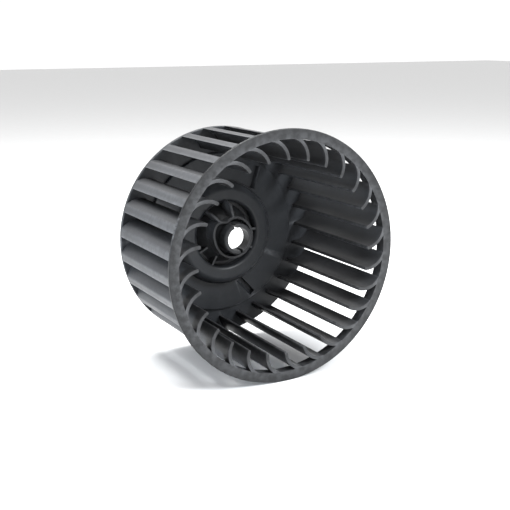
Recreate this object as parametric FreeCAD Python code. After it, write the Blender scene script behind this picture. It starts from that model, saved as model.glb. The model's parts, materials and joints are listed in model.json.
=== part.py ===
import FreeCAD, Part
import math
import os

# Blower motor wheel: a moulded squirrel cage of forward-curved blades between an open front ring and a
# closed back plate, with a split hub in the middle for the motor shaft. All sizes are in millimetres.
# The wheel turns about +Y. The open front faces -Y, +Z is up, and the origin is midway along the axis.
# Angles are counted from +X towards +Z, which is counter-clockwise for someone looking into the front.
# Heights are counted forward from the back plane.

# ---- overall
ring_outer_r = 63.85
wheel_depth = 74.0

# ---- front ring: a flat flange with a short band behind it
flange_width = 5.1
flange_thk = 1.5
flange_edge_round = 0.4
band_wall = 1.6
band_depth = 6.0

# ---- blades
blade_count = 28
blade_first_deg = -0.4
blade_chord = 10.1
blade_mean_r = 11.1
blade_thk = 1.75
blade_tip_lean_deg = 5.1
blade_tip_round = 0.5

# ---- back plate: rim behind the blades, then the web, which stands a step further forward
rim_thk = 2.1
rim_width = 14.25
web_front_h = 4.1
web_thk = 2.6

# ---- three slanted channels pressed into the web
channel_count = 3
channel_first_deg = 54.5
channel_tilt_deg = 18.5
channel_width = 3.4
channel_flat = 1.5
channel_depth = 2.4
channel_floor_thk = 1.5
channel_side_wall = 1.3
channel_clear_in = 1.0
channel_clear_out = 2.2

# ---- raised ring round the hub, hollow behind
ridge_inner_r = 18.0
ridge_lip_width = 2.4
ridge_crest_width = 3.9
ridge_fall_width = 4.0
ridge_front_h = 10.5
ridge_lip_drop = 2.5
ridge_wall = 2.0

# ---- hub: a split collar on a cone that is open to the back
bore_r = 6.35
bore_length = 6.5
collar_wall = 2.25
collar_front_h = 23.8
collar_height = 5.2
slit_width = 1.5
slit_deg = 105.0
funnel_wall = 1.6
funnel_floor_h = 4.9
funnel_floor_thk = 1.8
funnel_floor_width = 2.6

# ---- wavy wall round the collar. Its inner line is given as (angle, gap to the collar): it comes in
# close to the collar at one place, runs out into a bay beside it and is round elsewhere.
sleeve_wall = 1.5
sleeve_set_back = 5.0
sleeve_line_tolerance = 0.03
sleeve_line = [
    (10, 1.7), (50, 1.6), (82, 1.5), (99, 0.8), (113, 0.25), (124, 0.8), (133, 2.4), (142, 3.4),
    (156, 3.3), (172, 2.8), (192, 2.1), (216, 1.8), (250, 1.8), (290, 1.8), (330, 1.8),
]

# ---- hub ribs: two tall ones at the bay, and low ones that end level with the raised ring
rib_thk = 1.3
tall_rib_degs = [92.0, 132.0]
tall_rib_reach = 3.8
tall_rib_drop = 2.6
low_rib_degs = [208.0, 242.0, 330.0, 364.0]
low_rib_drop = 0.8
rib_overlap = 1.6

# ---- sizes that follow
back_y = wheel_depth / 2
front_y = -wheel_depth / 2
cage_r = ring_outer_r - flange_width
tip_r = cage_r - blade_chord
rim_inner_r = cage_r - rim_width
ridge_crest_in_r = ridge_inner_r + ridge_lip_width
ridge_crest_out_r = ridge_crest_in_r + ridge_crest_width
ridge_outer_r = ridge_crest_out_r + ridge_fall_width
ridge_lip_h = ridge_front_h - ridge_lip_drop
collar_outer_r = bore_r + collar_wall
collar_base_h = collar_front_h - collar_height
land_rear_h = collar_front_h - bore_length
funnel_mouth_r = ridge_inner_r - funnel_floor_width
sleeve_front_h = collar_front_h - sleeve_set_back
low_rib_h = ridge_front_h - low_rib_drop
rib_outer_r = ridge_inner_r + rib_overlap
pitch_deg = 360.0 / blade_count
over = 1.0

ORIGIN = FreeCAD.Vector(0, 0, 0)
AXIS = FreeCAD.Vector(0, 1, 0)
INTO_FRONT = FreeCAD.Vector(0, -1, 0)


def at_height(h):
    """The Y of a plane that lies h in front of the back plane."""
    return back_y - h


def turned(shape, degrees):
    """A copy of the shape, turned counter-clockwise as seen from the front."""
    copy = shape.copy()
    copy.rotate(ORIGIN, INTO_FRONT, degrees)
    return copy


def revolved(points):
    """A full turn of a closed outline. A point is (radius, height), and a pair of them is an arc's
    middle and end."""
    def place(point):
        return FreeCAD.Vector(point[0], at_height(point[1]), 0)

    edges = []
    last = place(points[0])
    for step in points[1:] + [points[0]]:
        if isinstance(step[0], tuple):
            end = place(step[1])
            edges.append(Part.Arc(last, place(step[0]), end).toShape())
        else:
            end = place(step)
            edges.append(Part.makeLine(last, end))
        last = end
    solid = Part.Face(Part.Wire(edges)).revolve(ORIGIN, AXIS, 360)
    return Part.Solid(solid) if solid.ShapeType == "Shell" else solid


def tube(inner_r, outer_r, rear_h, front_h):
    """A plain ring about the wheel's axis, between two heights."""
    base = FreeCAD.Vector(0, at_height(front_h), 0)
    length = front_h - rear_h
    outer = Part.makeCylinder(outer_r, length, base, AXIS)
    inner = Part.makeCylinder(inner_r, length + 2 * over, base - AXIS * over, AXIS)
    return outer.cut(inner)


def arc_middle(centre, start, end):
    """The middle point of the short arc from start to end about a centre, all as (radius, height)."""
    mid = ((start[0] + end[0]) / 2 - centre[0], (start[1] + end[1]) / 2 - centre[1])
    size = math.hypot(*mid)
    reach = math.hypot(start[0] - centre[0], start[1] - centre[1])
    return (centre[0] + mid[0] / size * reach, centre[1] + mid[1] / size * reach)


# ---- front ring
def front_flange():
    ring = tube(cage_r, ring_outer_r, wheel_depth - flange_thk, wheel_depth)
    rim = [e for e in ring.Edges if e.Curve.TypeId == "Part::GeomCircle" and
           abs(e.Curve.Radius - ring_outer_r) < 0.01]
    return ring.makeFillet(flange_edge_round, rim)


def front_band():
    return tube(cage_r, cage_r + band_wall, wheel_depth - band_depth, wheel_depth - flange_thk)


# ---- blades
def blade_arc_centre():
    """Centre of the blade's curve. It lies square to the blade's mean line at the tip."""
    lean = math.radians(blade_tip_lean_deg)
    return (tip_r - blade_mean_r * math.sin(lean), blade_mean_r * math.cos(lean))


def blade():
    """One blade with its tip on the +X radius: a curved strip, cut off at the cage's outer radius."""
    cx, cz = blade_arc_centre()
    length = wheel_depth - rim_thk
    base = FreeCAD.Vector(cx, front_y, cz)
    outer = Part.makeCylinder(blade_mean_r + blade_thk / 2, length, base, AXIS)
    inner = Part.makeCylinder(blade_mean_r - blade_thk / 2, length, base, AXIS)
    strip = outer.cut(inner)

    # The strip runs from the tip's radius, on the side away from the turn, out to the cage radius.
    reach = 2 * blade_mean_r
    lean = math.radians(blade_tip_lean_deg)
    start = Part.makeBox(reach, length, reach, FreeCAD.Vector(0, 0, 0))
    start.translate(FreeCAD.Vector(0, 0, -reach))
    start.rotate(ORIGIN, INTO_FRONT, math.degrees(lean))
    start.translate(FreeCAD.Vector(cx, front_y, cz))
    cage = Part.makeCylinder(cage_r, length, FreeCAD.Vector(0, front_y, 0), AXIS)
    strip = strip.common(start).common(cage)
    tips = [e for e in strip.Edges if e.Curve.TypeId == "Part::GeomLine" and
            abs(e.Length - length) < 0.01 and
            math.hypot(e.CenterOfMass.x, e.CenterOfMass.z) < tip_r + blade_thk]
    return strip.makeFillet(blade_tip_round, tips)


# ---- back plate
def back_rim():
    return tube(rim_inner_r, cage_r, 0, rim_thk)


def channel_frame(shape, number):
    """Moves a shape that was made along +X at the origin to a channel's place in the web."""
    middle_r = (ridge_outer_r + channel_clear_in + rim_inner_r - channel_clear_out) / 2
    shape.rotate(ORIGIN, INTO_FRONT, channel_tilt_deg)
    shape.translate(FreeCAD.Vector(middle_r, 0, 0))
    return turned(shape, channel_first_deg + number * 360.0 / channel_count)


def channel_length():
    radial = rim_inner_r - channel_clear_out - ridge_outer_r - channel_clear_in
    return radial / math.cos(math.radians(channel_tilt_deg))


def channel_cut():
    """The hollow of a channel: a steep side, a flat floor, and a slope back up to the web."""
    half = channel_width / 2
    length = channel_length()
    top = at_height(web_front_h)
    floor = at_height(web_front_h - channel_depth)
    proud = top - over
    corners = [(half, proud), (half, floor), (half - channel_flat, floor), (-half, top), (-half, proud)]
    points = [FreeCAD.Vector(-length / 2, y, z) for z, y in corners]
    outline = Part.makePolygon(points + [points[0]])
    return Part.Face(outline).extrude(FreeCAD.Vector(length, 0, 0))


def channel_back():
    """The channel's own floor, where it stands out behind the web."""
    width = channel_width + 2 * channel_side_wall
    length = channel_length() + 2 * channel_side_wall
    rear_h = web_front_h - channel_depth - channel_floor_thk
    corner = FreeCAD.Vector(-length / 2, at_height(web_front_h - web_thk), -width / 2)
    return Part.makeBox(length, web_front_h - web_thk - rear_h, width, corner)


def web():
    disc = tube(ridge_outer_r, rim_inner_r, web_front_h - web_thk, web_front_h)
    for number in range(channel_count):
        disc = disc.fuse(channel_frame(channel_back(), number))
    for number in range(channel_count):
        disc = disc.cut(channel_frame(channel_cut(), number))
    return disc.removeSplitter()


def raised_ring():
    """The raised ring round the hub: a sharp inner lip, a flat crest and a long rounded fall outside."""
    fall_out = ridge_outer_r - ridge_crest_out_r
    fall_down = ridge_front_h - web_front_h
    lean_in = ridge_wall * fall_out / math.hypot(fall_out, fall_down)
    crest_in = (ridge_crest_in_r, ridge_front_h)
    crest_out = (ridge_crest_out_r, ridge_front_h)
    foot = (ridge_outer_r, web_front_h)
    lip = (ridge_inner_r, ridge_lip_h)
    inner_crest_in = (ridge_crest_in_r + ridge_wall / 2, ridge_front_h - ridge_wall)
    inner_crest_out = (ridge_crest_out_r - lean_in / 2, ridge_front_h - ridge_wall)
    inner_foot = (ridge_outer_r - ridge_wall, web_front_h - web_thk)
    return revolved([
        (ridge_inner_r, 0),
        lip,
        (arc_middle((ridge_crest_in_r, ridge_lip_h), lip, crest_in), crest_in),
        crest_out,
        (arc_middle((ridge_crest_out_r, web_front_h), crest_out, foot), foot),
        (ridge_outer_r, web_front_h - web_thk),
        inner_foot,
        (inner_foot[0], web_front_h),
        inner_crest_out,
        inner_crest_in,
        (ridge_inner_r + ridge_wall, ridge_lip_h - ridge_wall / 2),
        (ridge_inner_r + ridge_wall, 0),
    ])


# ---- hub
def funnel_slope():
    """How fast the funnel's hollow widens towards the back, in radius per height."""
    return (funnel_mouth_r - bore_r) / (land_rear_h - funnel_floor_h + funnel_floor_thk)


def funnel_front_r(h):
    """Radius of the funnel's front surface at a height."""
    slope = funnel_slope()
    return bore_r + (land_rear_h - h) * slope + funnel_wall * math.hypot(1, slope)


def funnel_front_h(r):
    """Height of the funnel's front surface at a radius."""
    slope = funnel_slope()
    return land_rear_h - (r - bore_r - funnel_wall * math.hypot(1, slope)) / slope


def hub_funnel():
    """The cone that carries the collar, open to the back for the nose of the motor."""
    return revolved([
        (bore_r, land_rear_h),
        (bore_r, collar_base_h),
        (collar_outer_r, collar_base_h),
        (collar_outer_r, funnel_front_h(collar_outer_r)),
        (funnel_front_r(funnel_floor_h), funnel_floor_h),
        (ridge_inner_r, funnel_floor_h),
        (ridge_inner_r, funnel_floor_h - funnel_floor_thk),
        (funnel_mouth_r, funnel_floor_h - funnel_floor_thk),
    ])


def collar_halves():
    """The split collar: two halves of a ring that grips the shaft."""
    ring = tube(bore_r, collar_outer_r, collar_base_h, collar_front_h)
    slit = Part.makeBox(4 * collar_outer_r, collar_height + 2 * over, slit_width,
                        FreeCAD.Vector(-2 * collar_outer_r, at_height(collar_front_h) - over,
                                       -slit_width / 2))
    halves = ring.cut(turned(slit, slit_deg)).Solids
    return sorted(halves, key=lambda half: half.CenterOfMass.x)


def under_funnel():
    """Everything behind the front of the cone and its floor, which the wall and the ribs stand on."""
    floor_r = ridge_inner_r + ridge_wall
    return revolved([
        (0, -over),
        (0, funnel_front_h(0)),
        (funnel_front_r(funnel_floor_h), funnel_floor_h),
        (floor_r, funnel_floor_h),
        (floor_r, -over),
    ])


def hub_sleeve():
    """The wavy wall round the collar, standing on the cone."""
    points = []
    for degrees, gap in sleeve_line:
        angle = math.radians(degrees)
        r = collar_outer_r + gap
        points.append(FreeCAD.Vector(r * math.cos(angle), at_height(0), r * math.sin(angle)))
    line = Part.BSplineCurve()
    line.interpolate(Points=points, PeriodicFlag=True)
    inner = Part.Wire([arc.toShape() for arc in line.toBiArcs(sleeve_line_tolerance)])
    outer = Part.Face(inner.makeOffset2D(sleeve_wall))
    wall = outer.cut(Part.Face(inner)).extrude(FreeCAD.Vector(0, -sleeve_front_h, 0))
    return wall.cut(under_funnel())


def rib_slab(outline):
    """A plate of the ribs' thickness on the +X radius, from an outline of (radius, height)."""
    points = [FreeCAD.Vector(r, at_height(h), -rib_thk / 2) for r, h in outline]
    return Part.Face(Part.makePolygon(points + [points[0]])).extrude(FreeCAD.Vector(0, 0, rib_thk))


def hub_ribs(sleeve, ridge):
    """Thin walls from the wavy wall to the raised ring, each trimmed to what it meets."""
    tall = rib_slab([
        (collar_outer_r, 0),
        (collar_outer_r, sleeve_front_h),
        (collar_outer_r + tall_rib_reach, sleeve_front_h),
        (ridge_inner_r, sleeve_front_h - tall_rib_drop),
        (rib_outer_r, ridge_front_h),
        (rib_outer_r, 0),
    ])
    low = rib_slab([
        (collar_outer_r, 0),
        (collar_outer_r, low_rib_h),
        (rib_outer_r, low_rib_h),
        (rib_outer_r, 0),
    ])
    trim = sleeve.fuse(ridge).fuse(under_funnel())
    ribs = []
    for slab, places in ((tall, tall_rib_degs), (low, low_rib_degs)):
        for degrees in places:
            pieces = turned(slab, degrees).cut(trim).Solids
            ribs.append(max(pieces, key=lambda piece: math.hypot(piece.CenterOfMass.x,
                                                                  piece.CenterOfMass.z)))
    return ribs


def build():
    nodes = {"front_flange": front_flange(), "front_band": front_band()}
    first = blade()
    for number in range(blade_count):
        nodes[f"blade_{number + 1:02d}"] = turned(first, blade_first_deg + number * pitch_deg)
    nodes["back_rim"] = back_rim()
    nodes["web"] = web()
    nodes["raised_ring"] = raised_ring()
    nodes["hub_funnel"] = hub_funnel()
    nodes["hub_sleeve"] = hub_sleeve()
    for number, half in enumerate(collar_halves()):
        nodes[f"collar_half_{number + 1}"] = half
    ribs = hub_ribs(nodes["hub_sleeve"], nodes["raised_ring"])
    for number, rib in enumerate(ribs):
        nodes[f"hub_rib_{number + 1}"] = rib
    return nodes


os.makedirs("parts", exist_ok=True)
for name, shape in build().items():
    solids = shape.Solids
    print(name, "solids", len(solids), "valid", shape.isValid(), "volume", round(shape.Volume, 2))
    solid = solids[0] if len(solids) == 1 else shape
    solid.exportStep(f"parts/{name}.step")
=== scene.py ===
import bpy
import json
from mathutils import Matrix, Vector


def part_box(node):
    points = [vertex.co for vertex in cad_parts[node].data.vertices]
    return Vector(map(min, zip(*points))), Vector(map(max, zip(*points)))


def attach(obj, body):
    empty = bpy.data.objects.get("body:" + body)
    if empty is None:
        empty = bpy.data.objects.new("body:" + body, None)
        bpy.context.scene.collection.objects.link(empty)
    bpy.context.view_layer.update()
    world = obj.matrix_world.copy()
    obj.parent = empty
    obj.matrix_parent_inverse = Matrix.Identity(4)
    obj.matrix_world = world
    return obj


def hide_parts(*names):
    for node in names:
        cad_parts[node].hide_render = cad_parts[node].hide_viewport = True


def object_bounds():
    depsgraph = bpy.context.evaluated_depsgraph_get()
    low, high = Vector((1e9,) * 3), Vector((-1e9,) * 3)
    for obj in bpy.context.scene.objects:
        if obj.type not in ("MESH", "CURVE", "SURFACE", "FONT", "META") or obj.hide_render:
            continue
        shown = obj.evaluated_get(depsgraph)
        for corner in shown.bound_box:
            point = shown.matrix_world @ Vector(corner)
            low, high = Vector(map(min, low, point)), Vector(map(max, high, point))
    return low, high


bl_info = {
    "name": "Blower Motor Wheel",
    "version": (1, 0, 0),
    "blender": (4, 5, 0),
    "location": "View3D > Sidebar > Blower Wheel",
    "description": "Builds a moulded blower wheel piece by piece around its packed CAD frame",
    "category": "Object",
}

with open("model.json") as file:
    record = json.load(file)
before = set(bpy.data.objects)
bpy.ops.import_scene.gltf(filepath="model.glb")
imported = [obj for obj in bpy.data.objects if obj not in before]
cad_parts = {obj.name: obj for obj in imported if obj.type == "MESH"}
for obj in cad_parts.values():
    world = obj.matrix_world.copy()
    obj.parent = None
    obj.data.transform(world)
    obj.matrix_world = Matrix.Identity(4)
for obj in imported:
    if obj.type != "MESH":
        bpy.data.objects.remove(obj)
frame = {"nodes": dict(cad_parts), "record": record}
cad_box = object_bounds()

import json
import math

import bmesh
import bpy
from mathutils import Matrix, Vector

MM = 0.001
BODY = "root"

# ---- places and sizes read from the CAD pieces
flange_low, flange_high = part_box("front_flange")
band_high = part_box("front_band")[1]
rim_low, rim_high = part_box("back_rim")
web_low, web_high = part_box("web")
ridge_low, ridge_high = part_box("raised_ring")
cone_low, cone_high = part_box("hub_funnel")
wall_low, wall_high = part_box("hub_sleeve")
collar_low, collar_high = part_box("collar_half_1")
second_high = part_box("collar_half_2")[1]

FRONT_Y = flange_low.y
BACK_Y = rim_high.y
RING_R = flange_high.x
BAND_R = band_high.x
CAGE_R = rim_high.x
WEB_R = web_high.x
RIDGE_R = ridge_high.x
RIDGE_INNER_R = cone_high.x
COLLAR_R = max(collar_high.z, second_high.z)
BORE_R = frame["record"]["mounts"][0]["dims"]["r_mm"] * MM
BLADE_NODES = sorted(name for name in frame["nodes"] if name.startswith("blade_"))
RIB_NODES = sorted(name for name in frame["nodes"] if name.startswith("hub_rib_"))

# ---- lesser sizes, which a user leaves alone
BAND_EDGE = 0.3 * MM  # rounding at the back of the band
VANE_RECESS = 0.02 * MM  # how far a vane's front end lies behind the ring's face
VANE_NOSE = 0.5 * MM  # length of a vane's rounded tip
FOOT_RUN = 1.6 * MM  # how far in front of the rim a vane's foot starts to spread
# The steps of a foot, in millimetres: length, depth reached, and share of the spread there.
FOOT_STEPS = ((0.9, 0.9, 0.22), (0.5, 1.4, 0.60), (0.4, 1.8, 1.0))
WEB_THICKNESS = 2.6 * MM
WEB_EDGE = 0.5 * MM
CHANNELS = 3
CHANNEL_CLEAR_IN = 1.0 * MM  # from the ridge to a channel
CHANNEL_CLEAR_OUT = 2.2 * MM  # from a channel to the web's rim
CHANNEL_SIDE = 1.3 * MM  # wall beside a channel, behind the web
CHANNEL_REAR = 1.5 * MM  # wall behind a channel's floor
CHANNEL_REAR_EDGE = 0.4 * MM
CHANNEL_EDGE = 0.22 * MM
RIDGE_EDGE = 0.3 * MM
CONE_EDGE = 0.15 * MM
COLLAR_EDGE = 0.18 * MM
WALL_EDGE = 0.34 * MM
RIB_EDGE = 0.3 * MM

# How far each piece runs into the one that it meets.
RIM_LAP = 0.3 * MM
WEB_LAP = 0.4 * MM
CONE_LAP = 0.2 * MM
COLLAR_LAP = 0.1 * MM
WALL_LAP = 1.0 * MM
CONE_SINK = 0.25 * MM

# Steps round the axis.
RING_STEPS = 192
DISC_STEPS = 144
CONE_STEPS = 112
COLLAR_STEPS = 96
WALL_STEPS = 160

# Distances that count as the same place, and the one within which vertices are merged.
EXACT = 0.001 * MM
CLOSE = 0.01 * MM
NEAR = 0.1 * MM
WELD = 0.002 * MM

# The wavy wall's inner line: angle in degrees, and gap to the collar in millimetres.
WALL_LINE = (
    (10, 1.7), (50, 1.6), (82, 1.5), (98, 1.0), (107, 0.45), (114, 0.12), (121, 0.5), (129, 1.75),
    (136, 2.9), (144, 3.5), (156, 3.3), (172, 2.8), (192, 2.1), (216, 1.8), (250, 1.8), (290, 1.8),
    (330, 1.8),
)

# ---- looks
NOISE = (0.3, 0.7)  # the part of a noise's range that is used
SHARP = (0.52, 0.60)  # pointiness from which an edge's painted highlight starts, and where it is full
LIGHT_AND_SHADE_R = (0.051, 0.0585)  # radii between which the vanes' painted shade inside turns into painted light outside
GLINT_COLOUR = (0.17, 0.175, 0.185, 1.0)  # colour of the painted highlight on a sharp edge

# ---- stage
FLOOR_WIDTH = 8
SKY = 1.05
LIGHTS = (
    # name, place, aim, width, power, colour
    ("overhead", (-0.06, 0.05, 0.78), (0, 0, 0), 0.50, 15.0, (1.0, 1.0, 0.99)),
    ("low_left", (-0.62, 0.00, 0.02), (0, 0, -0.01), 0.25, 5.5, (0.80, 0.89, 1.0)),
    ("front_right", (0.34, -0.60, 0.50), (0, 0.02, 0), 0.30, 13.0, (0.94, 0.97, 1.0)),
)
CAMERA_PLACE = (-0.22720, -0.40257, 0.10795)
CAMERA_AIM = (0.4813, 0.8433, -0.2392)
CAMERA_LENS = 63.70
CAMERA_SENSOR = 36.0


def size(name, description, millimetres, unit="LENGTH"):
    """A length that a user can change, with its default in millimetres."""
    return bpy.props.FloatProperty(
        name=name, description=description, default=millimetres * MM, min=0.0, precision=5, unit=unit)


def turn(name, description, degrees):
    """An angle that a user can change, with its default in degrees."""
    return bpy.props.FloatProperty(
        name=name, description=description, default=math.radians(degrees), subtype="ANGLE")


def tint(name, description, colour):
    """A colour that a user can change."""
    return bpy.props.FloatVectorProperty(
        name=name, description=description, default=colour, size=3, min=0.0, max=1.0, subtype="COLOR")


class WheelSizes(bpy.types.PropertyGroup):
    """Sizes of the wheel's pieces that the CAD boxes don't give."""
    ring_edge: size("Ring edge", "Rounding of the front ring's outer edges", 0.45)
    vane_thickness: size("Vane thickness", "Thickness of a vane", 1.75)
    vane_curve: size("Vane curve", "Radius of a vane's middle line", 11.1)
    vane_chord: size("Vane depth", "Radial depth of a vane", 10.1)
    vane_lean: turn("Vane lean", "Lean of a vane at its tip", 5.1)
    vane_first: turn("First vane", "Angle of the first vane's tip", -0.4)
    vane_edge: size("Vane edge", "Rounding of a vane's front edges", 0.22)
    vane_blunt: size("Vane blunting", "Blunting of the thin edge where a vane's hollow side ends", 0.07)
    vane_foot: size("Vane foot", "Spread of a vane where it meets the back rim", 0.35)
    rim_edge: size("Rim edge", "Rounding of the back rim's edges", 0.5)
    channel_width: size("Channel width", "Width of a slanted channel in the web", 3.9)
    channel_flat: size("Channel flat", "Width of a channel's floor", 2.3)
    channel_depth: size("Channel depth", "Depth of a channel below the web", 2.4)
    channel_first: turn("First channel", "Angle of the first channel", 54.5)
    channel_tilt: turn("Channel tilt", "Slant of a channel from the radius", 18.5)
    ridge_wall: size("Ridge wall", "Wall of the raised ring", 2.0)
    ridge_lip: size("Ridge lip", "Width of the raised ring's rounded inner lip", 2.4)
    ridge_crest: size("Ridge crest", "Width of the raised ring's flat top", 3.9)
    ridge_drop: size("Lip drop", "How far the inner lip lies behind the crest", 2.5)
    bore_length: size("Bore length", "Length of the bore that grips the shaft", 6.5)
    cone_wall: size("Cone wall", "Wall of the hub's cone", 1.6)
    cone_floor: size("Cone floor", "Thickness of the floor round the cone", 1.8)
    cone_floor_width: size("Floor width", "Width of the flat floor behind the cone's mouth", 2.6)
    collar_round: size("Collar rounding", "Rounding of the collar's outer front edge", 1.1)
    slit: size("Collar slit", "Width of the slit through the collar", 1.5)
    slit_angle: turn("Slit angle", "Direction of the collar's slit", 105.0)
    wall_thickness: size("Hub wall", "Thickness of the wavy wall round the collar", 1.5)
    rib_thickness: size("Rib thickness", "Thickness of a hub rib", 1.3)
    rib_overlap: size("Rib overlap", "How far a rib runs over the raised ring's lip", 1.6)
    tall_rib_reach: size("Tall rib top", "Level length at the top of a tall rib", 3.8)
    tall_rib_drop: size("Tall rib drop", "Fall of a tall rib's top towards the raised ring", 2.6)


class WheelColours(bpy.types.PropertyGroup):
    """Colours of the wheel's plastic and of the stage."""
    ring: tint("Ring", "Plastic of the front ring", (0.0070, 0.0072, 0.0076))
    vane: tint("Vanes", "Plastic of the vanes", (0.0165, 0.0169, 0.0180))
    plate: tint("Plate", "Plastic of the back plate", (0.0145, 0.0158, 0.0180))
    hub: tint("Hub", "Plastic of the hub", (0.0190, 0.0196, 0.0210))
    ground: tint("Floor", "Pale studio floor", (0.66, 0.66, 0.66))


# ---- working in object and edit mode
def object_mode():
    if bpy.context.object and bpy.context.object.mode != "OBJECT":
        bpy.ops.object.mode_set(mode="OBJECT")


def deselect_all():
    object_mode()
    bpy.ops.object.select_all(action="DESELECT")


def make_active(piece):
    deselect_all()
    piece.select_set(True)
    bpy.context.view_layer.objects.active = piece


def edit(piece):
    make_active(piece)
    bpy.ops.object.mode_set(mode="EDIT")


def off_axis(place):
    """How far a place lies from the wheel's axis."""
    return math.hypot(place.x, place.z)


def heading(node):
    """Angle at which a CAD node stands, from +X towards +Z."""
    points = frame["nodes"][node].data.vertices
    return math.atan2(sum(p.co.z for p in points), sum(p.co.x for p in points))


def unselected(piece):
    """In edit mode, the mesh of a piece with nothing selected."""
    mesh = bmesh.from_edit_mesh(piece.data)
    for element in (*mesh.verts, *mesh.edges, *mesh.faces):
        element.select = False
    return mesh


def select_vertices(piece, wanted):
    """In edit mode, selects the vertices whose place passes a test."""
    mesh = unselected(piece)
    for vertex in mesh.verts:
        vertex.select = wanted(vertex.co)
    mesh.select_flush(True)
    bmesh.update_edit_mesh(piece.data)


def bevel_edges(piece, width, segments, wanted):
    """In edit mode, rounds the edges whose two ends pass a test."""
    bpy.ops.mesh.select_mode(type="EDGE")
    mesh = unselected(piece)
    found = [edge for edge in mesh.edges if wanted(edge.verts[0].co, edge.verts[1].co)]
    for edge in found:
        edge.select = True
    mesh.select_flush(True)
    bmesh.update_edit_mesh(piece.data)
    if not found:
        raise RuntimeError(f"{piece.name}: no edge was found to round")
    bpy.ops.mesh.bevel(offset=width, segments=segments, affect="EDGES")


def chain(name, places):
    """A new piece, left in edit mode, with a chain of vertices through the places."""
    deselect_all()
    bpy.ops.mesh.primitive_plane_add(size=MM, location=(0, 0, 0))
    piece = bpy.context.object
    piece.name = piece.data.name = name
    bpy.ops.object.mode_set(mode="EDIT")
    bpy.ops.mesh.select_mode(type="VERT")
    bpy.ops.mesh.select_all(action="SELECT")
    bpy.ops.mesh.merge(type="CENTER")
    bpy.ops.transform.translate(value=places[0])
    for before, after in zip(places, places[1:]):
        bpy.ops.mesh.extrude_vertices_move(TRANSFORM_OT_translate={"value": after - before})
    return piece


def closed_chain(name, places):
    """A chain whose last vertex is joined to its first, left in edit mode and selected."""
    piece = chain(name, places)
    ends = (places[0], places[-1])
    select_vertices(piece, lambda co: any((co - end).length < EXACT for end in ends))
    bpy.ops.mesh.edge_face_add()
    bpy.ops.mesh.select_all(action="SELECT")
    return piece


def filled_chain(name, places):
    """A face through the places, left in edit mode and selected."""
    piece = chain(name, places)
    bpy.ops.mesh.select_all(action="SELECT")
    bpy.ops.mesh.edge_face_add()
    bpy.ops.mesh.select_all(action="SELECT")
    return piece


def tidy_mesh():
    """In edit mode, merges doubled vertices and turns every face outwards."""
    bpy.ops.mesh.select_all(action="SELECT")
    bpy.ops.mesh.remove_doubles(threshold=WELD)
    bpy.ops.mesh.normals_make_consistent(inside=False)
    bpy.ops.mesh.select_all(action="DESELECT")


def lathe(name, outline, steps):
    """A full turn of a closed outline of (radius, y) about the wheel's axis."""
    piece = closed_chain(name, [Vector((r, y, 0)) for r, y in outline])
    bpy.ops.mesh.spin(steps=steps, angle=2 * math.pi, center=(0, 0, 0), axis=(0, 1, 0))
    tidy_mesh()
    return piece


def plate_from(name, places, depth):
    """A plate from a closed outline, extruded by a vector."""
    piece = filled_chain(name, places)
    bpy.ops.mesh.extrude_region_move(TRANSFORM_OT_translate={"value": depth})
    tidy_mesh()
    return piece


def apply_modifier(piece, kind, **settings):
    make_active(piece)
    modifier = piece.modifiers.new(kind.title(), kind)
    for key, value in settings.items():
        setattr(modifier, key, value)
    bpy.ops.object.modifier_apply(modifier=modifier.name)


def round_edges(piece, width, segments=2, angle=40):
    """Rounds every edge sharper than an angle in degrees."""
    apply_modifier(piece, "BEVEL", width=width, segments=segments, limit_method="ANGLE",
                   angle_limit=math.radians(angle))


def discard(piece):
    mesh = piece.data
    bpy.data.objects.remove(piece)
    bpy.data.meshes.remove(mesh)


def cut(piece, cutter, operation="DIFFERENCE"):
    """Cuts a piece with another, or joins them, and deletes the other."""
    apply_modifier(piece, "BOOLEAN", operation=operation, object=cutter, solver="EXACT")
    discard(cutter)


def turn_mesh(piece, angle):
    """Turns a piece's mesh about the axis, from +X towards +Z."""
    object_mode()
    piece.data.transform(Matrix.Rotation(-angle, 4, "Y"))


def turned_copy(piece, name, angle):
    """A copy with its own mesh, turned about the axis from +X towards +Z."""
    copy = piece.copy()
    copy.data = piece.data.copy()
    copy.name = copy.data.name = name
    bpy.context.collection.objects.link(copy)
    turn_mesh(copy, angle)
    return copy


def finish_piece(piece, slot, material, *nodes, smooth=35):
    """Smooths a piece, gives it its plastic and hangs it on the wheel's body."""
    make_active(piece)
    bpy.ops.object.transform_apply(location=True, rotation=True, scale=True)
    bpy.ops.object.shade_smooth_by_angle(angle=math.radians(smooth))
    apply_modifier(piece, "WEIGHTED_NORMAL", weight=90, keep_sharp=True)
    piece.data.materials.clear()
    piece.data.materials.append(material)
    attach(piece, BODY)
    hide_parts(*nodes)


# ---- lines on a plane
def arc(centre, start, end, steps):
    """Points from start to end about a centre, in a plane, the short way round."""
    reach = math.hypot(start[0] - centre[0], start[1] - centre[1])
    first = math.atan2(start[1] - centre[1], start[0] - centre[0])
    swing = math.atan2(end[1] - centre[1], end[0] - centre[0]) - first
    swing = (swing + math.pi) % (2 * math.pi) - math.pi
    return [(centre[0] + reach * math.cos(first + swing * k / steps),
             centre[1] + reach * math.sin(first + swing * k / steps)) for k in range(steps + 1)]


def ellipse_quarter(centre, start, end, steps):
    """A quarter of an ellipse from start to end, whose axes meet at the centre."""
    return [(centre[0] + (start[0] - centre[0]) * math.cos(t) + (end[0] - centre[0]) * math.sin(t),
             centre[1] + (start[1] - centre[1]) * math.cos(t) + (end[1] - centre[1]) * math.sin(t))
            for t in (math.pi / 2 * k / steps for k in range(steps + 1))]


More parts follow.
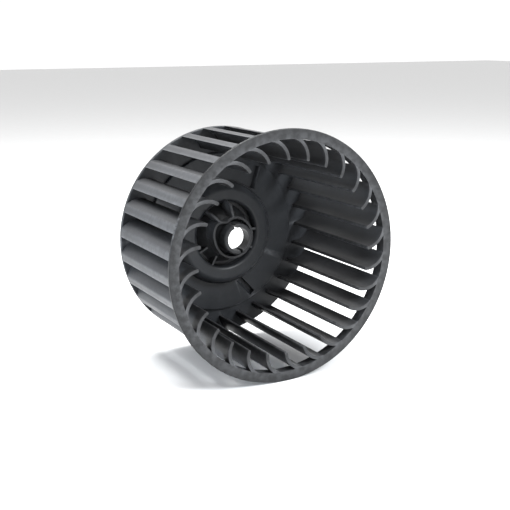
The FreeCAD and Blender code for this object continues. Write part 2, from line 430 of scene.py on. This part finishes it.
# ---- plastic
class Wiring:
    """Adds shader nodes and links them in one call."""

    def __init__(self, tree):
        self.tree = tree

    def add(self, kind, settings=None, **inputs):
        """A node with its sockets filled: i0, i1 and so on by number, any other by name."""
        node = self.tree.nodes.new(kind)
        for key, value in (settings or {}).items():
            setattr(node, key, value)
        for key, value in inputs.items():
            if key[0] == "i" and key[1:].isdigit():
                socket = node.inputs[int(key[1:])]
            else:
                socket = node.inputs[key.replace("_", " ")]
            if isinstance(value, bpy.types.NodeSocket):
                self.tree.links.new(value, socket)
            else:
                socket.default_value = value
        return node

    def math(self, operation, first, second=0.0):
        return self.add("ShaderNodeMath", {"operation": operation}, i0=first, i1=second).outputs[0]

    def spread(self, value, low, high, to_low, to_high):
        """A value's range turned into another range."""
        return self.add("ShaderNodeMapRange", None, i0=value, i1=low, i2=high, i3=to_low,
                        i4=to_high).outputs[0]

    def noise(self, place, scale, detail, roughness=0.5):
        return self.add("ShaderNodeTexNoise", None, Vector=place, Scale=scale, Detail=detail,
                        Roughness=roughness).outputs["Fac"]

    def shaded(self, colour, shade):
        """A colour made lighter or darker by a grey value."""
        gray = self.add("ShaderNodeCombineColor", None, Red=shade, Green=shade, Blue=shade).outputs[0]
        return self.add("ShaderNodeMix", {"data_type": "RGBA", "blend_type": "MULTIPLY"},
                        i0=1.0, i6=(*colour, 1.0), i7=gray).outputs[2]


def moulded_plastic(name, colour, sheen_low, sheen_high, flow, painted_light_and_shade):
    """Satin black moulded plastic: a fine grain, faint flow marks, a painted highlight on sharp edges,
    painted shade inside and painted light outside.
    """
    material = bpy.data.materials.new(name)
    material.use_nodes = True
    tree = material.node_tree
    shader = tree.nodes["Principled BSDF"]
    wires = Wiring(tree)
    place = wires.add("ShaderNodeTexCoord").outputs["Object"]

    split = wires.add("ShaderNodeSeparateXYZ", None, Vector=place)
    x, y, z = split.outputs[0], split.outputs[1], split.outputs[2]
    radius = wires.math("SQRT", wires.math("ADD", wires.math("MULTIPLY", x, x),
                                           wires.math("MULTIPLY", z, z)))
    # Flow marks run outwards from the hub: they change quickly round the axis, slowly along the radius.
    divisor = wires.math("ADD", radius, 0.5 * MM)
    stream = wires.add("ShaderNodeCombineXYZ", None, X=wires.math("DIVIDE", x, divisor),
                       Y=wires.math("DIVIDE", z, divisor),
                       Z=wires.math("MULTIPLY", wires.math("ADD", radius, y), 9.0)).outputs[0]

    cloud = wires.noise(place, scale=42.0, detail=3.0)
    streaks = wires.noise(stream, scale=4.0, detail=2.5, roughness=0.55)
    mottle = wires.noise(place, scale=420.0, detail=2.0)
    grain = wires.noise(place, scale=1900.0, detail=2.0, roughness=0.6)
    edge = wires.add("ShaderNodeNewGeometry").outputs["Pointiness"]
    # Painted highlight: sharp edges are mixed towards a lighter colour, standing in for light glinting on
    # them.
    edge_glint = wires.math("MULTIPLY", wires.spread(edge, *SHARP, 0.0, 1.0),
                      wires.spread(mottle, 0.35, 0.65, 0.35, 1.0))

    shade = wires.math("ADD", wires.spread(cloud, *NOISE, -0.10, 0.10),
                       wires.spread(streaks, *NOISE, -0.09 * flow, 0.09 * flow))
    shade = wires.math("ADD", shade, wires.spread(mottle, *NOISE, -0.05, 0.05))
    # Painted light and shade: the vanes are darker towards the inside of the cage, where shade falls, and
    # lighter outside, where light falls.
    outside = wires.spread(radius, *LIGHT_AND_SHADE_R, 1.0 - 0.3 * painted_light_and_shade, 1.0 + painted_light_and_shade)
    shade = wires.math("MULTIPLY", wires.math("ADD", shade, 1.0), outside)
    base = wires.shaded(colour, shade)
    glinted = wires.add("ShaderNodeMix", {"data_type": "RGBA"}, i0=wires.math("MULTIPLY", edge_glint, 0.30),
                       i6=base, i7=GLINT_COLOUR)
    tree.links.new(glinted.outputs[2], shader.inputs["Base Color"])

    sheen = wires.math("ADD", wires.spread(streaks, *NOISE, sheen_low, sheen_high),
                       wires.spread(grain, *NOISE, -0.04, 0.05))
    sheen = wires.math("SUBTRACT", sheen, wires.math("MULTIPLY", edge_glint, 0.07))
    tree.links.new(sheen, shader.inputs["Roughness"])

    relief = wires.math("MULTIPLY", grain, 0.014 * MM)
    for layer, height in ((mottle, 0.035 * MM), (cloud, 0.10 * MM), (streaks, 0.025 * MM * flow)):
        relief = wires.math("ADD", relief, wires.math("MULTIPLY", layer, height))
    bump = wires.add("ShaderNodeBump", None, Strength=1.0, Distance=1.0, Height=relief)
    tree.links.new(bump.outputs[0], shader.inputs["Normal"])
    shader.inputs["IOR"].default_value = 1.5
    shader.inputs["Specular IOR Level"].default_value = 0.23
    return material


def plastic(slot):
    """The plastic of one of the record's slots, made once."""
    made = bpy.data.materials.get(f"moulded_{slot}")
    if made:
        return made
    colours = bpy.context.scene.wheel_colours
    # Colour, roughness from and to, strength of the flow marks, strength of the painted light outside and
    # painted shade inside.
    colour, *finish = {
        "ring": (colours.ring, 0.40, 0.47, 0.6, 0.0),
        "blade": (colours.vane, 0.38, 0.48, 0.8, 1.1),
        "plate": (colours.plate, 0.34, 0.50, 1.3, 0.0),
        "hub": (colours.hub, 0.38, 0.50, 1.0, 0.0),
    }[slot]
    return moulded_plastic(f"moulded_{slot}", tuple(colour), *finish)


# ---- the ring and the cage
class WHEEL_OT_front_ring(bpy.types.Operator):
    """Models the flat ring round the open front, with the short band behind it"""
    bl_idname = "wheel.front_ring"
    bl_label = "Front Ring"

    def execute(self, context):
        ring = lathe("front_ring", [
            (CAGE_R, FRONT_Y), (RING_R, FRONT_Y), (RING_R, flange_high.y), (BAND_R, flange_high.y),
            (BAND_R, band_high.y), (CAGE_R, band_high.y),
        ], RING_STEPS)
        bevel_edges(ring, context.scene.wheel_sizes.ring_edge, 3,
                    lambda a, b: min(off_axis(a), off_axis(b)) > RING_R - NEAR and abs(a.y - b.y) < CLOSE)
        bevel_edges(ring, BAND_EDGE, 2, lambda a, b: min(a.y, b.y) > band_high.y - CLOSE
                    and abs(off_axis(a) - off_axis(b)) < NEAR)
        tidy_mesh()
        finish_piece(ring, "ring", plastic("ring"), "front_flange", "front_band")
        return {"FINISHED"}


def vane_outline(sizes):
    """A vane's section as (x, z), with the middle of its tip on the X axis."""
    tip = CAGE_R - sizes.vane_chord
    centre = (tip - sizes.vane_curve * math.sin(sizes.vane_lean),
              sizes.vane_curve * math.cos(sizes.vane_lean))
    bulge = sizes.vane_curve + sizes.vane_thickness / 2
    hollow = sizes.vane_curve - sizes.vane_thickness / 2

    def outer_point(side, radius):
        """Where a side of the vane, a circle about the centre, meets a circle about the axis."""
        away = math.hypot(*centre)
        swing = math.acos((radius ** 2 + away ** 2 - side ** 2) / (2 * radius * away))
        angle = math.atan2(centre[1], centre[0]) - swing
        return (radius * math.cos(angle), radius * math.sin(angle))

    def at_tip(radius):
        return (centre[0] + radius * math.sin(sizes.vane_lean),
                centre[1] - radius * math.cos(sizes.vane_lean))

    out_start, in_start = at_tip(bulge), at_tip(hollow)
    out_end, in_end = outer_point(bulge, CAGE_R), outer_point(hollow, CAGE_R - sizes.vane_blunt)
    outline = arc(centre, out_start, out_end, 18)
    outline += arc((0, 0), out_end, in_end, 5)[1:] + [in_end]
    outline += arc(centre, in_end, in_start, 18)[1:]

    # The tip is rounded by pulling its two corners back and adding the nose between them.
    along = (math.cos(sizes.vane_lean), math.sin(sizes.vane_lean))
    across = (-along[1], along[0])

    def nose_point(corner, share, way):
        depth = VANE_NOSE * (1 - share) ** 2
        return (corner[0] + along[0] * depth + way * across[0] * VANE_NOSE * share,
                corner[1] + along[1] * depth + way * across[1] * VANE_NOSE * share)

    first, last = outline[0], outline[-1]
    outline[0], outline[-1] = nose_point(first, 0, 1), nose_point(last, 0, -1)
    outline += [nose_point(last, share, -1) for share in (0.30, 0.70)]
    outline += [nose_point(first, share, 1) for share in (0.70, 0.30)]
    return outline


class WHEEL_OT_vanes(bpy.types.Operator):
    """Models one curved vane and copies it to every vane's place in the cage"""
    bl_idname = "wheel.vanes"
    bl_label = "Vanes"

    def execute(self, context):
        sizes = context.scene.wheel_sizes
        face_y = FRONT_Y + VANE_RECESS
        foot_y = rim_low.y - FOOT_RUN
        vane = filled_chain("vane", [Vector((x, face_y, z)) for x, z in vane_outline(sizes)])
        for step in (foot_y - face_y, *(length * MM for length, depth, share in FOOT_STEPS)):
            bpy.ops.mesh.extrude_region_move(TRANSFORM_OT_translate={"value": (0, step, 0)})
        tidy_mesh()
        # The foot spreads a little where it runs into the rim.
        for length, depth, share in FOOT_STEPS:
            level = foot_y + depth * MM
            select_vertices(vane, lambda co: abs(co.y - level) < CLOSE
                            and off_axis(co) < CAGE_R - 0.2 * MM)
            bpy.ops.transform.shrink_fatten(value=sizes.vane_foot * share)
        bevel_edges(vane, sizes.vane_edge, 2, lambda a, b: max(a.y, b.y) < face_y + EXACT
                    and max(off_axis(a), off_axis(b)) < CAGE_R - 0.05 * MM)
        tidy_mesh()
        object_mode()

        first_heading = heading(BLADE_NODES[0])
        for node in BLADE_NODES:
            angle = sizes.vane_first + heading(node) - first_heading
            piece = turned_copy(vane, node.replace("blade", "vane"), angle)
            finish_piece(piece, "blade", plastic("blade"), node, smooth=40)
        discard(vane)
        return {"FINISHED"}


# ---- the back plate
class WHEEL_OT_back_rim(bpy.types.Operator):
    """Models the flat rim of the back plate that the vanes stand on"""
    bl_idname = "wheel.back_rim"
    bl_label = "Back Rim"

    def execute(self, context):
        inner = WEB_R - RIM_LAP
        rim = lathe("plate_rim", [
            (inner, rim_low.y), (CAGE_R, rim_low.y), (CAGE_R, BACK_Y), (inner, BACK_Y),
        ], RING_STEPS)
        round_edges(rim, context.scene.wheel_sizes.rim_edge, segments=3)
        finish_piece(rim, "plate", plastic("plate"), "back_rim")
        return {"FINISHED"}


def tray(name, corners, length):
    """A straight bar along X from its section of (z, y)."""
    return plate_from(name, [Vector((-length / 2, y, z)) for z, y in corners], (length, 0, 0))


class WHEEL_OT_web(bpy.types.Operator):
    """Models the disc inside the rim, with its three slanted channels"""
    bl_idname = "wheel.web"
    bl_label = "Web"

    def execute(self, context):
        sizes = context.scene.wheel_sizes
        front = web_low.y
        back = front + WEB_THICKNESS
        inner = RIDGE_R - WEB_LAP
        web = lathe("plate_web", [(inner, front), (WEB_R, front), (WEB_R, back), (inner, back)], DISC_STEPS)
        round_edges(web, WEB_EDGE, segments=3)

        start, end = RIDGE_R + CHANNEL_CLEAR_IN, WEB_R - CHANNEL_CLEAR_OUT
        length = (end - start) / math.cos(sizes.channel_tilt)
        half = sizes.channel_width / 2
        floor = front + sizes.channel_depth

        def place(shape, number):
            """Slants a bar and moves it to its channel's place in the web."""
            turn_mesh(shape, sizes.channel_tilt)
            shape.data.transform(Matrix.Translation(((start + end) / 2, 0, 0)))
            turn_mesh(shape, sizes.channel_first + number * 2 * math.pi / CHANNELS)

        for number in range(CHANNELS):
            shell = tray("channel_back", [
                (half + CHANNEL_SIDE, back - 0.3 * MM), (half + CHANNEL_SIDE, floor + CHANNEL_REAR),
                (-half - CHANNEL_SIDE, floor + CHANNEL_REAR), (-half - CHANNEL_SIDE, back - 0.3 * MM),
            ], length + 2 * CHANNEL_SIDE)
            round_edges(shell, CHANNEL_REAR_EDGE)
            place(shell, number)
            cut(web, shell, "UNION")
        for number in range(CHANNELS):
            hollow = tray("channel_hollow", [
                (half, front - 1.0 * MM), (half, floor), (half - sizes.channel_flat, floor),
                (-half, front), (-half, front - 1.0 * MM),
            ], length)
            place(hollow, number)
            cut(web, hollow)
        round_edges(web, CHANNEL_EDGE, angle=28)
        finish_piece(web, "plate", plastic("plate"), "web")
        return {"FINISHED"}


class WHEEL_OT_hub_ridge(bpy.types.Operator):
    """Models the rounded ring that stands round the hub, hollow behind"""
    bl_idname = "wheel.hub_ridge"
    bl_label = "Hub Ridge"

    def execute(self, context):
        sizes = context.scene.wheel_sizes
        wall = sizes.ridge_wall
        crest = ridge_low.y
        lip = crest + sizes.ridge_drop
        crest_in = RIDGE_INNER_R + sizes.ridge_lip
        crest_out = crest_in + sizes.ridge_crest
        foot = web_low.y
        foot_back = foot + WEB_THICKNESS
        under_out = crest_out - wall * 0.4
        outline = [(RIDGE_INNER_R, BACK_Y)]
        outline += ellipse_quarter((crest_in, lip), (RIDGE_INNER_R, lip), (crest_in, crest), 7)
        outline += ellipse_quarter((crest_out, foot), (crest_out, crest), (RIDGE_R, foot), 12)
        outline += [(RIDGE_R, foot_back), (RIDGE_R - wall, foot_back)]
        outline += reversed(ellipse_quarter((under_out, foot), (under_out, crest + wall),
                                            (RIDGE_R - wall, foot), 8))
        outline += [(crest_in + wall * 0.5, crest + wall), (RIDGE_INNER_R + wall, lip + wall * 0.6),
                    (RIDGE_INNER_R + wall, BACK_Y)]
        ridge = lathe("hub_ridge", outline, DISC_STEPS)
        round_edges(ridge, RIDGE_EDGE, angle=60)
        finish_piece(ridge, "plate", plastic("plate"), "raised_ring", smooth=45)
        return {"FINISHED"}


# ---- the hub
class ConeLine:
    """Where the hub's cone runs: the rear of its bore, its mouth, its floor and its front."""

    def __init__(self, sizes):
        self.rear_y = collar_low.y + sizes.bore_length
        self.mouth_r = RIDGE_INNER_R - sizes.cone_floor_width
        self.floor_y = cone_high.y - sizes.cone_floor
        self.slope = (self.mouth_r - BORE_R) / (cone_high.y - self.rear_y)
        self.skin = sizes.cone_wall * math.hypot(1, self.slope)

    def radius_at(self, y):
        """Radius of the cone's front at a place along the axis."""
        return BORE_R + self.skin + (y - self.rear_y) * self.slope

    def y_at(self, radius):
        """Place along the axis where the cone's front has a radius."""
        return self.rear_y + (radius - BORE_R - self.skin) / self.slope


def behind_cone(sizes):
    """A solid that fills the space behind the cone's front, for trimming what stands on it."""
    line = ConeLine(sizes)
    core = 0.5 * MM
    outer, rear = RIDGE_INNER_R + 2 * MM, BACK_Y + 2 * MM
    return lathe("behind_cone", [
        (core, line.y_at(core) + CONE_SINK), (line.radius_at(line.floor_y), line.floor_y + CONE_SINK),
        (outer, line.floor_y + CONE_SINK), (outer, rear), (core, rear),
    ], COLLAR_STEPS)


class WHEEL_OT_hub_cone(bpy.types.Operator):
    """Models the cone that carries the collar, open to the back"""
    bl_idname = "wheel.hub_cone"
    bl_label = "Hub Cone"

    def execute(self, context):
        line = ConeLine(context.scene.wheel_sizes)
        outer = RIDGE_INNER_R + CONE_LAP
        cone = lathe("hub_cone", [
            (BORE_R, cone_low.y), (COLLAR_R, cone_low.y), (COLLAR_R, line.y_at(COLLAR_R)),
            (line.radius_at(line.floor_y), line.floor_y), (outer, line.floor_y), (outer, cone_high.y),
            (line.mouth_r, cone_high.y), (BORE_R, line.rear_y),
        ], CONE_STEPS)
        round_edges(cone, CONE_EDGE, angle=20)
        finish_piece(cone, "hub", plastic("hub"), "hub_funnel")
        return {"FINISHED"}


class WHEEL_OT_collar(bpy.types.Operator):
    """Models the two halves of the split collar that grips the shaft"""
    bl_idname = "wheel.collar"
    bl_label = "Split Collar"

    def execute(self, context):
        sizes = context.scene.wheel_sizes
        front, foot, shoulder = collar_low.y, collar_high.y + COLLAR_LAP, sizes.collar_round
        ring = lathe("collar", [
            (BORE_R, front),
            *arc((COLLAR_R - shoulder, front + shoulder), (COLLAR_R - shoulder, front),
                 (COLLAR_R, front + shoulder), 6),
            (COLLAR_R, foot), (BORE_R, foot),
        ], COLLAR_STEPS)
        deselect_all()
        middle = (collar_low.y + collar_high.y) / 2
        bpy.ops.mesh.primitive_cube_add(size=1, location=(0, middle, 0))
        slit = bpy.context.object
        bpy.ops.object.mode_set(mode="EDIT")
        bpy.ops.mesh.select_all(action="SELECT")
        bpy.ops.transform.resize(value=(4 * COLLAR_R, 4 * (collar_high.y - collar_low.y), sizes.slit))
        object_mode()
        bpy.ops.object.transform_apply(location=True, rotation=True, scale=True)
        turn_mesh(slit, sizes.slit_angle)
        cut(ring, slit)
        round_edges(ring, COLLAR_EDGE, angle=50)
        edit(ring)
        bpy.ops.mesh.separate(type="LOOSE")
        object_mode()
        halves = [o for o in bpy.context.selected_objects if o.type == "MESH"]
        if len(halves) != 2:
            raise RuntimeError(f"the collar came out in {len(halves)} parts")
        halves.sort(key=lambda o: sum(v.co.x for v in o.data.vertices) / len(o.data.vertices))
        for number, half in enumerate(halves, 1):
            half.name = half.data.name = f"collar_jaw_{number}"
            finish_piece(half, "hub", plastic("hub"), f"collar_half_{number}")
        return {"FINISHED"}


def wall_radius(angle):
    """Radius of the wavy wall's inner line at an angle, smooth through its listed points."""
    degrees = math.degrees(angle) % 360
    listed = [(a + lap, gap) for lap in (-360, 0, 360) for a, gap in WALL_LINE]
    k = max(i for i, (a, gap) in enumerate(listed) if a <= degrees)
    (a0, g0), (a1, g1), (a2, g2), (a3, g3) = listed[k - 1:k + 3]
    t = (degrees - a1) / (a2 - a1)
    m1 = (g2 - g0) / (a2 - a0) * (a2 - a1)
    m2 = (g3 - g1) / (a3 - a1) * (a2 - a1)
    gap = ((2 * t ** 3 - 3 * t ** 2 + 1) * g1 + (t ** 3 - 2 * t ** 2 + t) * m1
           + (-2 * t ** 3 + 3 * t ** 2) * g2 + (t ** 3 - t ** 2) * m2)
    return COLLAR_R + gap * MM


def wall_middle(angle, thickness):
    """A place on the middle line of the wavy wall, half its thickness outside the inner line."""
    small = 0.01
    here = wall_radius(angle)
    lean = math.atan2(wall_radius(angle + small) - here, here * small)
    along = Vector((math.cos(angle), 0, math.sin(angle)))
    aside = Vector((-math.sin(angle), 0, math.cos(angle)))
    outward = along * math.cos(lean) - aside * math.sin(lean)
    return along * here + outward * thickness / 2 + Vector((0, wall_low.y, 0))


class WHEEL_OT_hub_wall(bpy.types.Operator):
    """Models the wavy wall round the collar, standing on the cone"""
    bl_idname = "wheel.hub_wall"
    bl_label = "Hub Wall"

    def execute(self, context):
        sizes = context.scene.wheel_sizes
        wall = closed_chain("hub_wall", [
            wall_middle(math.pi / 2 + 2 * math.pi * k / WALL_STEPS, sizes.wall_thickness)
            for k in range(WALL_STEPS)])
        depth = wall_high.y + WALL_LAP - wall_low.y
        bpy.ops.mesh.extrude_edges_move(TRANSFORM_OT_translate={"value": (0, depth, 0)})
        tidy_mesh()
        apply_modifier(wall, "SOLIDIFY", thickness=sizes.wall_thickness, offset=0.0, use_even_offset=True)
        round_edges(wall, WALL_EDGE, segments=3, angle=60)
        cut(wall, behind_cone(sizes))
        finish_piece(wall, "hub", plastic("hub"), "hub_sleeve", smooth=40)
        return {"FINISHED"}


class WHEEL_OT_gussets(bpy.types.Operator):
    """Models the thin ribs between the hub wall and the raised ring"""
    bl_idname = "wheel.gussets"
    bl_label = "Hub Ribs"

    def execute(self, context):
        sizes = context.scene.wheel_sizes
        half = sizes.rib_thickness / 2
        outer = RIDGE_INNER_R + sizes.rib_overlap
        level = wall_low.y + 0.05 * MM
        dip = wall_low.y + sizes.tall_rib_drop
        for number, node in enumerate(RIB_NODES, 1):
            low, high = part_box(node)
            angle = heading(node)
            start = wall_radius(angle) + sizes.wall_thickness * 0.4
            if low.y < wall_low.y + 1.0 * MM:
                # A tall rib is level at the wall, falls towards the ring, and ends on the ring's crest.
                top = [
                    (start, level), (COLLAR_R + sizes.tall_rib_reach, level),
                    (RIDGE_INNER_R - 0.6 * MM, dip - 0.3 * MM), (RIDGE_INNER_R + 0.3 * MM, dip + 0.8 * MM),
                    (outer, ridge_low.y),
                ]
            else:
                top = [(start, low.y), (outer, low.y)]
            outline = top + [(outer, high.y), (start, high.y)]
            rib = plate_from(f"gusset_{number}", [Vector((r, y, -half)) for r, y in outline],
                             (0, 0, 2 * half))
            turn_mesh(rib, angle)
            round_edges(rib, RIB_EDGE, segments=3, angle=30)
            cut(rib, behind_cone(sizes))
            finish_piece(rib, "hub", plastic("hub"), node)
        return {"FINISHED"}


# ---- the stage
class WHEEL_OT_stage(bpy.types.Operator):
    """Sets up the pale floor, the soft studio lights and the camera"""
    bl_idname = "wheel.stage"
    bl_label = "Stage"

    def execute(self, context):
        scene = context.scene
        scene.view_settings.view_transform = "Standard"
        deselect_all()
        bpy.ops.mesh.primitive_plane_add(size=FLOOR_WIDTH, location=(0, 0, cad_box[0].z))
        ground = bpy.context.object
        ground.name = ground.data.name = "studio_floor"
        paint = bpy.data.materials.new("pale_floor")
        paint.use_nodes = True
        wires = Wiring(paint.node_tree)
        shader = paint.node_tree.nodes["Principled BSDF"]
        place = wires.add("ShaderNodeTexCoord").outputs["Object"]
        speck = wires.spread(wires.noise(place, scale=60.0, detail=3.0), *NOISE, 0.98, 1.0)
        paint.node_tree.links.new(wires.shaded(scene.wheel_colours.ground, speck),
                                  shader.inputs["Base Color"])
        shader.inputs["Roughness"].default_value = 0.8
        shader.inputs["Specular IOR Level"].default_value = 0.1
        ground.data.materials.append(paint)

        world = bpy.data.worlds.new("studio")
        scene.world = world
        world.use_nodes = True
        sky = world.node_tree.nodes["Background"]
        sky.inputs[0].default_value = (1.0, 1.0, 1.0, 1.0)
        sky.inputs[1].default_value = SKY

        for name, place, aim, width, power, colour in LIGHTS:
            lamp = bpy.data.lights.new(name, "AREA")
            lamp.size = width
            lamp.energy = power
            lamp.color = colour
            light = bpy.data.objects.new(name, lamp)
            context.collection.objects.link(light)
            light.location = place
            light.rotation_euler = (Vector(aim) - Vector(place)).to_track_quat("-Z", "Y").to_euler()

        view = bpy.data.cameras.new("camera")
        view.sensor_width = CAMERA_SENSOR
        view.lens = CAMERA_LENS
        camera = bpy.data.objects.new("camera", view)
        context.collection.objects.link(camera)
        camera.location = CAMERA_PLACE
        camera.rotation_euler = Vector(CAMERA_AIM).to_track_quat("-Z", "Y").to_euler()
        scene.camera = camera
        return {"FINISHED"}


class WHEEL_PT_builder(bpy.types.Panel):
    """Lists the wheel's builders, sizes and colours"""
    bl_label = "Blower Wheel"
    bl_idname = "WHEEL_PT_builder"
    bl_space_type = "VIEW_3D"
    bl_region_type = "UI"
    bl_category = "Blower Wheel"

    def draw(self, context):
        for builder in BUILDERS:
            self.layout.operator(builder.bl_idname)
        for group in (context.scene.wheel_sizes, context.scene.wheel_colours):
            column = self.layout.column()
            for name in group.__annotations__:
                column.prop(group, name)


BUILDERS = (WHEEL_OT_front_ring, WHEEL_OT_vanes, WHEEL_OT_back_rim, WHEEL_OT_web, WHEEL_OT_hub_ridge,
            WHEEL_OT_hub_cone, WHEEL_OT_collar, WHEEL_OT_hub_wall, WHEEL_OT_gussets, WHEEL_OT_stage)
CLASSES = (WheelSizes, WheelColours, *BUILDERS, WHEEL_PT_builder)


def register():
    for cls in CLASSES:
        bpy.utils.register_class(cls)
    bpy.types.Scene.wheel_sizes = bpy.props.PointerProperty(type=WheelSizes)
    bpy.types.Scene.wheel_colours = bpy.props.PointerProperty(type=WheelColours)


def unregister():
    del bpy.types.Scene.wheel_colours
    del bpy.types.Scene.wheel_sizes
    for cls in reversed(CLASSES):
        bpy.utils.unregister_class(cls)


def main():
    register()
    bpy.ops.wheel.front_ring()
    bpy.ops.wheel.vanes()
    bpy.ops.wheel.back_rim()
    bpy.ops.wheel.web()
    bpy.ops.wheel.hub_ridge()
    bpy.ops.wheel.hub_cone()
    bpy.ops.wheel.collar()
    bpy.ops.wheel.hub_wall()
    bpy.ops.wheel.gussets()
    bpy.ops.wheel.stage()


if __name__ == "__main__":
    main()
